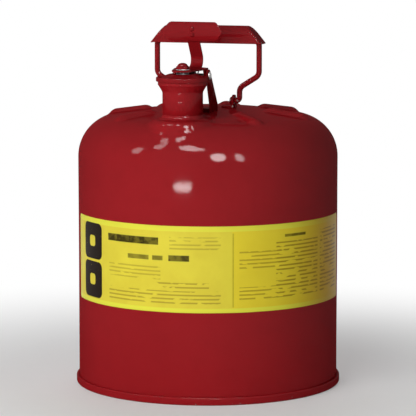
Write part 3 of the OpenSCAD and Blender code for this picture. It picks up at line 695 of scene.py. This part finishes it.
def build_body():
    """The drawn sheet body, cast onto the pressed shape, with its opening for the neck."""
    segs = 416
    rows = body_rows()
    turns = np.arange(segs) * 2 * math.pi / segs
    base, normal = [(0.0, 0.0, CROWN_Z + CROWN_R)], [(0.0, 0.0, 1.0)]
    for r, z, nr, nz in rows:
        for a in turns:
            base.append((r * math.cos(a), r * math.sin(a), z))
            normal.append((nr * math.cos(a), nr * math.sin(a), nz))
    base, normal = np.array(base), np.array(normal)
    pts = cast(base, normal)
    # Slight unevenness of pressed sheet, always inwards, and the weld down the back
    turn = np.arctan2(pts[:, 1], pts[:, 0])
    z = pts[:, 2]
    uneven, weld_h, weld_w = 0.16, 0.45, 2.4
    fade = np.clip(z / 40, 0, 1)
    wave = 0.5 + 0.25 * np.sin(3 * turn + z / 41) + 0.25 * np.sin(7 * turn - z / 29 + 1.3)
    pts -= (uneven * fade * wave)[:, None] * normal
    gap = np.abs(turn - math.pi / 2) * BODY_R
    weld = weld_h * np.exp(-((gap / weld_w) ** 2)) * np.clip((SHOULDER_Z + 10 - z) / 12, 0, 1)
    pts += weld[:, None] * normal
    faces = [(0, 1 + k, 1 + (k + 1) % segs) for k in range(segs)]
    for i in range(len(rows) - 1):
        a, b = 1 + i * segs, 1 + (i + 1) * segs
        for k in range(segs):
            q = (k + 1) % segs
            faces.append((a + k, b + k, b + q, a + q))
    piece = make("body_skin", pts, faces, "can", RED_BODY, ("body_shell",))
    # Opening under the neck, its edge hidden inside the neck's wall
    opening, near, dome_low = 21.6, 30, 200
    neck = Vector((0, -NECK_Y * MM))
    bm = bmesh.new()
    bm.from_mesh(piece.data)
    drop = []
    for f in bm.faces:
        middle = f.calc_center_median()
        if (Vector(middle[:2]) - neck).length < opening * MM and middle[2] > dome_low * MM:
            drop.append(f)
    bmesh.ops.delete(bm, geom=drop, context="FACES")
    for v in bm.verts:
        flat = Vector(v.co[:2]) - neck
        if v.is_boundary and flat.length < near * MM and v.co[2] > dome_low * MM:
            flat = flat.normalized() * opening * MM
            v.co.x, v.co.y = flat.x, flat.y - NECK_Y * MM
    bm.to_mesh(piece.data)
    bm.free()
    outward(piece)
    if piece.data.polygons[0].normal.z < 0:
        piece.data.flip_normals()
    thicken(piece, WALL)


build_body()

# Seam that folds round the edges of the body and the pan
FOOT_R, FOOT_H = 151.7, 9.0
SEAM_IN, SEAM_SLOT, SEAM_OUT = 145.2, 146.8, BODY_R + 0.06
revolve(
    "foot_seam",
    rounded([
        (SEAM_IN, 0, 0.6), (FOOT_R, 0, 2.2), (FOOT_R, FOOT_H, 2.4), (SEAM_OUT, FOOT_H, 0.5),
        (SEAM_OUT, 1.6, 0), (SEAM_SLOT, 1.6, 0), (SEAM_SLOT, 7.9, 0.4), (SEAM_IN, 7.9, 0.4),
    ], 6),
    (0, 0), "can", RED_FOOT, 288, ("bottom_chime",),
)
# Bottom pan with soft pressed corners
PAN_R, PAN_IN, PAN_STEP, PAN_FLAT = (BODY_R - WALL - 0.05 - inset for inset in (0, 0.8, 9, 18))
PAN_LOW, PAN_RIM, PAN_TOP = 1.7, 9.8, 13.0
revolve(
    "foot_pan",
    rounded([
        (PAN_R, PAN_LOW, 0), (PAN_R, PAN_RIM, 1.4), (PAN_STEP, PAN_RIM, 6), (PAN_FLAT, PAN_TOP, 6),
        (0, PAN_TOP, 0), (0, PAN_TOP - WALL, 0), (PAN_FLAT, PAN_TOP - WALL, 6),
        (PAN_STEP, PAN_RIM - WALL, 6), (PAN_IN, PAN_RIM - WALL, 0.6), (PAN_IN, PAN_LOW, 0),
    ], 5),
    (0, 0), "can", RED_FOOT, 192, ("bottom_pan",),
)


def build_label():
    """A thin film that follows the body, with rounded corners at both ends."""
    verts = []
    steps, rows = 230, 24
    r = BODY_R + 0.08
    corner = 4.0
    for j in range(rows + 1):
        # Rows crowd towards both edges so that the corners are round.
        t = 0.5 - 0.5 * math.cos(math.pi * j / rows)
        z = LABEL_LOW + (LABEL_HIGH - LABEL_LOW) * t
        d = min(z - LABEL_LOW, LABEL_HIGH - z)
        cut = corner - math.sqrt(max(0.0, corner ** 2 - max(0.0, corner - d) ** 2))
        trim = math.degrees(cut / BODY_R)
        for i in range(steps + 1):
            a = math.radians(LABEL_LEFT + trim + (LABEL_RIGHT - LABEL_LEFT - 2 * trim) * i / steps)
            verts.append((r * math.sin(a), -r * math.cos(a), z))
    faces = sheet_faces(rows, steps)
    piece = make("label_film", verts, faces, "can", LABEL, ("label_band",))
    thicken(piece, 0.2, offset=1)


build_label()

# ------------------------------------------------------------------ neck

NECK_AXIS = (0, -NECK_Y)
LIP_R, LIP_IN, LEDGE_R = 27.5, 24.5, 21.0
revolve(
    "spout_neck_piece",
    rounded([
        (NECK_IN, PAD_Z - 8, 0), (NECK_R, PAD_Z - 8, 0), (NECK_R, LIP_Z - 12.5, 7),
        (LIP_R - 0.9, LIP_Z - 5.6, 3), (LIP_R, LIP_Z - 4.6, 0.8), (LIP_R, LIP_Z, 1.2),
        (LIP_IN, LIP_Z, 0.8), (LEDGE_R, LEDGE_Z + 1.5, 0), (LEDGE_R, LEDGE_Z - 1.5, 0),
        (NECK_IN, LEDGE_Z - 1.5, 0),
    ], 6),
    NECK_AXIS, "can", RED_NECK, 128, ("spout_neck",),
)


def build_collar():
    """The soldered fillet round the neck, hollow in section and slightly uneven."""
    verts = []
    segs, steps = 144, 9
    inner, low = NECK_R - 0.6, PAD_Z - 1.2
    for k in range(segs):
        a = 2 * math.pi * k / segs
        uneven = 1 + 0.05 * math.sin(5 * a + 0.4) + 0.04 * math.sin(11 * a)
        w, h = 4.5 * uneven, 5.0 * uneven
        for j in range(steps + 1):
            t = j / steps * math.pi / 2
            rho = NECK_R + w - w * math.sin(t) + 0.25
            x, y = rho * math.cos(a), rho * math.sin(a) - NECK_Y
            r = math.hypot(x, y)
            base = max(PAD_Z, dome_z(r)) if r < 110 else PAD_Z
            verts.append((x, y, base + h * (1 - math.cos(t)) + 0.15))
        for rho, z in ((inner, PAD_Z + h), (inner, low), (NECK_R + w, low)):
            verts.append((rho * math.cos(a), rho * math.sin(a) - NECK_Y, z))
    outward(make(
        "neck_collar_piece", verts, ring_faces(segs, steps + 4), "can", RED_NECK,
        ("neck_collar",),
    ))


build_collar()

# ------------------------------------------------------------------ cap

CAP_R, SKIRT_IN, SKIRT_LOW = 29.6, 28.4, LIP_Z - 0.6
RIM_TOP, BEAD_H = CAP_Z + CAP_T, 3.0
STUD_R, STUD_HOLE, STUD_TOP = 3.0, 3.05, ARM_Z + LEVER_T + 4.4
revolve(
    "cap_piece",
    rounded([
        (STUD_HOLE, CAP_Z, 0), (12.7, CAP_Z, 0.8), (12.7, CAP_Z + BEAD_H, 0.6),
        (15.4, CAP_Z + BEAD_H, 1.2), (22.8, CAP_Z, 1.6), (SKIRT_IN, CAP_Z, 0.5),
        (SKIRT_IN, SKIRT_LOW, 0), (CAP_R, SKIRT_LOW, 0.2), (CAP_R, RIM_TOP, 1.5),
        (24, RIM_TOP, 2.5), (15.6, RIM_TOP + BEAD_H, 1.8), (11.5, RIM_TOP + BEAD_H, 1.2),
        (11.5, RIM_TOP, 0.9), (STUD_HOLE, RIM_TOP, 0.2),
    ], 5),
    NECK_AXIS, "cap", SHADED_RED_PARTS, 128, ("cap_shell",),
)
GASKET_IN, GASKET_R, GASKET_TOP = 20.55, 28.3, CAP_Z - 0.05
revolve(
    "gasket_piece",
    rounded([
        (GASKET_IN, GASKET_Z, 0.5), (GASKET_R, GASKET_Z, 0.6), (GASKET_R, GASKET_TOP, 0.2),
        (GASKET_IN, GASKET_TOP, 0.2),
    ], 4),
    NECK_AXIS, "cap", RUBBER, 128, ("cap_gasket",),
)
revolve(
    "stud_piece",
    rounded([
        (0, CAP_Z - 4.2, 0), (5.6, CAP_Z - 4.2, 0.8), (6, CAP_Z - 1.3, 0.3),
        (STUD_R, CAP_Z - 1.3, 0.2), (STUD_R, STUD_TOP, 0.4), (0, STUD_TOP, 0),
    ], 4),
    NECK_AXIS, "cap", ZINC, 48, ("cap_stud",),
)
WASHER_R, WASHER_LOW = 7.3, ARM_Z + LEVER_T + 0.2
WASHER_TOP = WASHER_LOW + 0.8
revolve(
    "washer_piece",
    rounded([
        (STUD_HOLE, WASHER_LOW, 0.1), (WASHER_R, WASHER_LOW, 0.2), (WASHER_R, WASHER_TOP, 0.35),
        (STUD_HOLE, WASHER_TOP, 0.1),
    ], 3),
    NECK_AXIS, "cap", ZINC, 64, ("stud_washer",),
)


def build_acorn():
    """A cap nut: chamfered flats under a round crown."""
    half_flats, flats_h, crown_r, crown_h = 6.5, 3.5, 5.8, 3.5
    segs = 120
    # Heights over the washer, each with the radius that cuts the six flats or the crown
    rows = [(0.0, 6.7), (0.45, 7.3), (0.8, 9.0), (2.6, 9.0), (3.1, 7.2), (flats_h, 6.1)]
    for k in range(1, 12):
        t = k / 12 * math.pi / 2
        rows.append((flats_h + crown_h * math.sin(t), crown_r * math.cos(t)))
    verts = []
    for h, cone in rows:
        for k in range(segs):
            a = 2 * math.pi * k / segs
            r = cone
            if h <= flats_h:
                from_flat = (a + math.pi / 6) % (math.pi / 3) - math.pi / 6
                r = min(cone, half_flats / math.cos(from_flat))
            verts.append((r * math.cos(a), r * math.sin(a) - NECK_Y, WASHER_TOP + h))
    verts.append((0, -NECK_Y, WASHER_TOP + flats_h + crown_h))
    faces = pipe_faces(len(rows), segs)
    tip = len(verts) - 1
    last = tip - segs
    faces += [(last + k, last + (k + 1) % segs, tip) for k in range(segs)]
    faces.append(tuple(reversed(range(segs))))
    outward(make(
        "acorn_nut_piece", verts, faces, "cap", SHADED_RED_PARTS, ("acorn_nut",)
    ))


build_acorn()


def coil(r, low, rise, turns):
    """Points of a coil round the stud."""
    steps = 40
    points = []
    for i in range(turns * steps + 1):
        a = 2 * math.pi * i / steps
        z = low + rise * i / (turns * steps)
        points.append((r * math.cos(a), r * math.sin(a) - NECK_Y, z))
    return points


relief_spring = tube(
    "relief_spring_piece", coil(7.0, RIM_TOP + 0.5, 4.3, 3), 0.5, "lever",
    SPRING, sides=12, replaces=("relief_spring",),
)
# It shortens against the arm as the cap lifts to vent.
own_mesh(relief_spring)

# ------------------------------------------------------------------ lever spring


def build_lever_spring():
    """A torsion spring: the coil stays on the bracket and its free leg turns with the lever."""
    turns, steps = 6, 36
    pitch, r, wire = 1.7, 4.0, 0.75
    end = pitch * turns / 2
    path = [
        (-end, BRACKET_FOOT_Y, BRACKET_FOOT_Z + 0.8), (-end, BRACKET_FOOT_Y - 5, BRACKET_FOOT_Z + 2.5),
    ]
    for i in range(turns * steps + 1):
        a = 2 * math.pi * i / steps
        path.append((-end + pitch * i / steps, PIVOT_Y + r * math.cos(a), PIVOT_Z + r * math.sin(a)))
    tube(
        "lever_spring_piece", path, wire, "can", SPRING, sides=12,
        ref=(1, 0, 0), replaces=("lever_spring",),
    )
    # The leg starts clear of the coil and ends under the lever's arm.
    clear = 1.7
    root, tip = np.array(path[-1]), np.array((end, PIVOT_Y + 11, ARM_Z - 0.95))
    root += clear * (tip - root) / np.linalg.norm(tip - root)
    tube(
        "lever_spring_leg", [tuple(root + (tip - root) * t) for t in (0, 0.5, 1)], wire, "lever",
        SPRING, sides=12, ref=(1, 0, 0),
    )


build_lever_spring()

# ------------------------------------------------------------------ trigger plate and rivets

# The stem bends up from the lever's arm, leans forwards and ends in the tab that holds the plate.
STEM_BEND_R, STEM_RUN, STEM_LEAN = 9.0, 24.0, math.radians(35)
TAB_Y = PIVOT_Y + 11.0 + STEM_BEND_R * math.cos(STEM_LEAN) - STEM_RUN * math.sin(STEM_LEAN)
STEM_LOW = ARM_Z + LEVER_T / 2 + STEM_BEND_R
TAB_Z = STEM_LOW + STEM_BEND_R * math.sin(STEM_LEAN) + STEM_RUN * math.cos(STEM_LEAN)
PLATE_T, PLATE_CURVE, PLATE_HALF = 1.6, 16.0, 10.0


def plate_dip(v):
    """How far the curved plate lies behind its middle line at v mm above it."""
    return PLATE_CURVE - math.sqrt(PLATE_CURVE ** 2 - v ** 2)


PLATE_Z = TAB_Z + 7.5
PLATE_Y = TAB_Y - LEVER_T / 2 - 0.05 - plate_dip(PLATE_Z - TAB_Z + LEVER_T / 2)


def build_trigger_plate():
    """A six-sided plate, curved in section, with its long edges turned back."""
    rows, cols = 28, 48
    middle, end = 36.0, 27.0
    tip, edge = 3.0, 1.8
    verts = []
    for j in range(rows + 1):
        v = -PLATE_HALF + 2 * PLATE_HALF * j / rows
        d = abs(v)
        half = middle - (middle - end) * d / PLATE_HALF
        # The two tips and the four outer corners are rounded.
        if d < tip:
            half -= (middle - end) / PLATE_HALF * tip / 4 * (1 - d / tip) ** 2
        if d > PLATE_HALF - edge:
            half -= edge - math.sqrt(max(0, edge ** 2 - (d - PLATE_HALF + edge) ** 2))
        for i in range(cols + 1):
            verts.append((half * (2 * i / cols - 1), PLATE_Y + plate_dip(v), PLATE_Z + v))
    piece = outward(make(
        "trigger_plate_piece", verts, sheet_faces(rows, cols), "lever", SHADED_RED_GRIP,
        ("trigger_plate",),
    ))
    if piece.data.polygons[len(piece.data.polygons) // 2].normal.y < 0:
        piece.data.flip_normals()
    thicken(piece, PLATE_T)
    round_edges(piece, 0.5, 2, 50)
    even_shading(piece)


build_trigger_plate()

RIVET_R, SHANK_R = 2.7, 1.8
RIVET_FRONT, RIVET_BACK = PLATE_Y - PLATE_T, TAB_Y + LEVER_T / 2
RIVET = rounded([
    (0, RIVET_FRONT - 1.3, 0), (1.6, RIVET_FRONT - 1.15, 0.8), (RIVET_R, RIVET_FRONT - 0.3, 0.5),
    (RIVET_R, RIVET_FRONT + 1.1, 0), (SHANK_R, RIVET_FRONT + 1.1, 0), (SHANK_R, RIVET_BACK, 0),
    (RIVET_R, RIVET_BACK + 0.1, 0.5), (1.6, RIVET_BACK + 0.95, 0.8), (0, RIVET_BACK + 1.1, 0),
], 3)
for index, side in enumerate((-3.0, 3.0)):
    revolve(
        f"rivet_{index}", RIVET, (0, PLATE_Z + side), "lever", SHADED_RED_PARTS, 36,
        ("trigger_rivets",), axis="Y",
    )

# ------------------------------------------------------------------ hinge

dress_cad("hinge_bracket", SHADED_RED_PARTS, 0.5)
dress_cad("trigger_lever", SHADED_RED_PARTS, 0.45)
for node in ("bail_lug_left", "bail_lug_right"):
    dress_cad(node, SHADED_RED_BAIL, 0.45)
for node in ("arrester_tube", "arrester_flange", "arrester_end_cap", "gasket_retainer"):
    dress_cad(node, ZINC)
dress_cad("arrester_mesh", MESH)
dress_cad("pin_clip", SPRING, 0.15)

PIN_R, PIN_HEAD_R = 2.5, 4.5
PIN_END, PIN_HEAD, PIN_TOP = -EAR_OUT - 3, EAR_OUT + 0.2, EAR_OUT + 2.2
revolve(
    "hinge_pin_piece",
    rounded([
        (0, PIN_END, 0), (2.1, PIN_END, 0.3), (PIN_R, PIN_END + 0.5, 0.2), (PIN_R, PIN_HEAD, 0),
        (PIN_HEAD_R, PIN_HEAD, 0.2), (PIN_HEAD_R, PIN_HEAD + 1, 1.2), (PIN_R, PIN_TOP, 1.5),
        (0, PIN_TOP, 0),
    ], 4),
    (PIVOT_Y, PIVOT_Z), "can", ZINC, 40, ("hinge_pin",), axis="X",
)

# ------------------------------------------------------------------ bail


def bail_path():
    """The wire's middle line, from its end in the right lug over the grip to the left lug."""
    corners = [
        (31.9, BAIL_Z), (LEG_X, BAIL_Z), (LEG_X, KNEE_Z), (SIDE_X, SIDE_Z),
        (SIDE_X, SLOPE_Z), (TOP_X, TOP_Z), (0, TOP_Z),
    ]
    pts = [(26.9, BAIL_Z), (29.5, BAIL_Z)]
    for i, bend_r in enumerate((4.5, 9.0, 9.0, 9.0, 9.0)):
        pts += round_corner(*corners[i:i + 3], bend_r, 10)
    right = [(x, 0.0, z) for x, z in pts]
    return right + [(-x, y, z) for x, y, z in reversed(right)]


tube(
    "bail_wire_piece", bail_path(), WIRE_R - 0.01, "bail", SHADED_RED_BAIL, sides=28,
    ref=(0, 1, 0), replaces=("bail_wire",), ends=False,
)
# Hammered heads on the wire's ends, as (radius, distance from the middle, corner radius)
WIRE_HEAD = (
    (0, 26.2, 0), (3.4, 26.4, 0.8), (4.55, 27.4, 0.6), (4.3, 28.6, 0.6), (3.1, 28.9, 0.2),
    (0, 28.9, 0),
)
for side, tag in ((1, "right"), (-1, "left")):
    head = rounded([(r, side * x, corner) for r, x, corner in WIRE_HEAD], 3)
    revolve(
        f"wire_head_{tag}", head, (0, BAIL_Z), "bail", SHADED_RED_BAIL, 36,
        ("bail_wire",), axis="X",
    )


def build_grip():
    """A folded sheet grip: an upside-down U whose ends follow the wire's slope."""
    r, cols = 11.5, 40
    run = (SIDE_X - TOP_X) / SLOPE_H
    off = GRIP_OFF * math.hypot(run, 1)
    mid = GRIP_TOP - r
    section = [(-r, GRIP_LOW + (mid - GRIP_LOW) * k / 8) for k in range(9)]
    for k in range(1, 25):
        a = math.pi - math.pi * k / 24
        section.append((r * math.cos(a), mid + r * math.sin(a)))
    section += [(r, mid - (mid - GRIP_LOW) * k / 8) for k in range(1, 9)]
    verts = []
    for y, z in section:
        x_end = SIDE_X + off - (z - SLOPE_Z) * run
        for i in range(cols + 1):
            verts.append((x_end * (2 * i / cols - 1), y, z))
    faces = sheet_faces(len(section) - 1, cols)
    left_end = [j * (cols + 1) for j in range(len(section))]
    faces.append(tuple(left_end))
    faces.append(tuple(i + cols for i in reversed(left_end)))
    piece = outward(make("grip_piece", verts, faces, "bail", SHADED_RED_GRIP, ("grip",)))
    top = max(piece.data.polygons, key=lambda f: f.center.z)
    if top.normal.z < 0:
        piece.data.flip_normals()
    round_edges(piece, 2.2, 5, 40)
    thicken(piece, 1.0)
    even_shading(piece)


build_grip()

# ------------------------------------------------------------------ floor and light

# The floor and the lamps are written in metres.
FLOOR_R, FLOOR_SIDES = 6.0, 96
FLOOR_TURNS = [2 * math.pi * k / FLOOR_SIDES for k in range(FLOOR_SIDES)]
floor_mesh = bpy.data.meshes.new("floor")
floor_mesh.from_pydata(
    [(FLOOR_R * math.cos(a), FLOOR_R * math.sin(a), 0) for a in FLOOR_TURNS], [],
    [tuple(range(FLOOR_SIDES))],
)
floor = bpy.data.objects.new("floor", floor_mesh)
bpy.context.scene.collection.objects.link(floor)
floor.location.z = -0.0002  # just under the foot


def seen_rays(nodes, links, kinds):
    """1 for rays of these kinds, which show what they meet, and 0 for the others."""
    rays = nodes.new("ShaderNodeLightPath")
    seen = rays.outputs[kinds[0]]
    for kind in kinds[1:]:
        either = nodes.new("ShaderNodeMath")
        either.operation = "MAXIMUM"
        links.new(seen, either.inputs[0])
        links.new(rays.outputs[kind], either.inputs[1])
        seen = either.outputs[0]
    return seen


def mix_shaders(nodes, links, factor, plain, white, out):
    """Ends a material or a world in a blend from plain to white."""
    blend = nodes.new("ShaderNodeMixShader")
    for socket, source in zip(blend.inputs, (factor, plain, white)):
        links.new(source, socket)
    links.new(blend.outputs[0], out.inputs[0])


def floor_paper():
    """Pale paper that fades into the white surroundings."""
    s = Shader("floor_paper")
    x, y, _ = s.xyz()
    grain = s.noise(30.0, 3.0)
    s.set(Base_Color=s.mix(grain, rgb(0.80, 0.80, 0.80), rgb(0.82, 0.82, 0.81)))
    s.set(Roughness=0.9, Specular_IOR_Level=0.1)
    glow = s.nodes.new("ShaderNodeEmission")
    glow.inputs["Color"].default_value = rgb(1, 1, 1)
    seen = seen_rays(s.nodes, s.links, ("Is Camera Ray", "Is Glossy Ray"))
    fade = s.math("MULTIPLY", s.ramp(s.length(x, y), 0.20, 0.75, 0.25, 1.0), seen)
    mix_shaders(s.nodes, s.links, fade, s.bsdf.outputs[0], glow.outputs[0], s.out)
    return s.material


floor_mesh.materials.append(floor_paper())


def build_world():
    """Weak white light from all round, and full white where the background is seen."""
    world = bpy.data.worlds.new("world")
    bpy.context.scene.world = world
    world.use_nodes = True
    nodes, links = world.node_tree.nodes, world.node_tree.links
    nodes.clear()
    out = nodes.new("ShaderNodeOutputWorld")
    plain, white = (nodes.new("ShaderNodeBackground") for _ in range(2))
    for node, strength in ((plain, 0.10), (white, 1.0)):
        node.inputs["Color"].default_value = rgb(1, 1, 1)
        node.inputs["Strength"].default_value = strength
    seen = seen_rays(nodes, links, ("Is Camera Ray", "Is Glossy Ray", "Is Transmission Ray"))
    mix_shaders(nodes, links, seen, plain.outputs[0], white.outputs[0], out)


build_world()

LAMP_AIM = Vector((0, 0, 0.25))


def lamp(name, turn, rise, far, wide, tall, level):
    """A lamp that faces the can. At a level of pi, a surface square to it shows its colour.

    turn is measured from the camera's direction towards +X, rise up from the horizontal.
    """
    data = bpy.data.lights.new(name, "AREA")
    data.shape = "RECTANGLE"
    data.size, data.size_y = wide, tall
    data.energy = level * math.pi * far ** 2
    a = VIEW_TURN + math.radians(turn)
    e = math.radians(rise)
    place = Vector((math.sin(a) * math.cos(e), -math.cos(a) * math.cos(e), math.sin(e)))
    light = bpy.data.objects.new(name, data)
    light.location = LAMP_AIM + far * place
    light.rotation_euler = (-place).to_track_quat("-Z", "Y").to_euler()
    bpy.context.scene.collection.objects.link(light)
    return light


# Two soft lamps that don't show in reflections
for name, turn, rise, level in (("key", -29, 20, 2.65), ("behind", 180, 35, 1.0)):
    light = lamp(name, turn, rise, 2.8, 2.2, 2.2, level)
    light.visible_glossy = False
# Six small lamps that only show in reflections, as the bright spots on the dome and the side
for number, (turn, rise, far, wide, tall, level) in enumerate((
    (-17.2, -5.4, 0.35, 0.080, 0.009, 0.32), (-71, 30, 2.4, 0.36, 0.60, 0.62),
    (-55, 45, 2.4, 0.42, 0.60, 0.80), (-18, 46, 2.4, 0.90, 0.55, 2.6),
    (9, 26, 2.4, 0.50, 0.90, 3.2), (28, 23.5, 2.4, 0.30, 0.90, 1.3),
)):
    light = lamp(f"glint_{number}", turn, rise, far, wide, tall, level)
    light.data.shape = "ELLIPSE"
    light.visible_diffuse = False
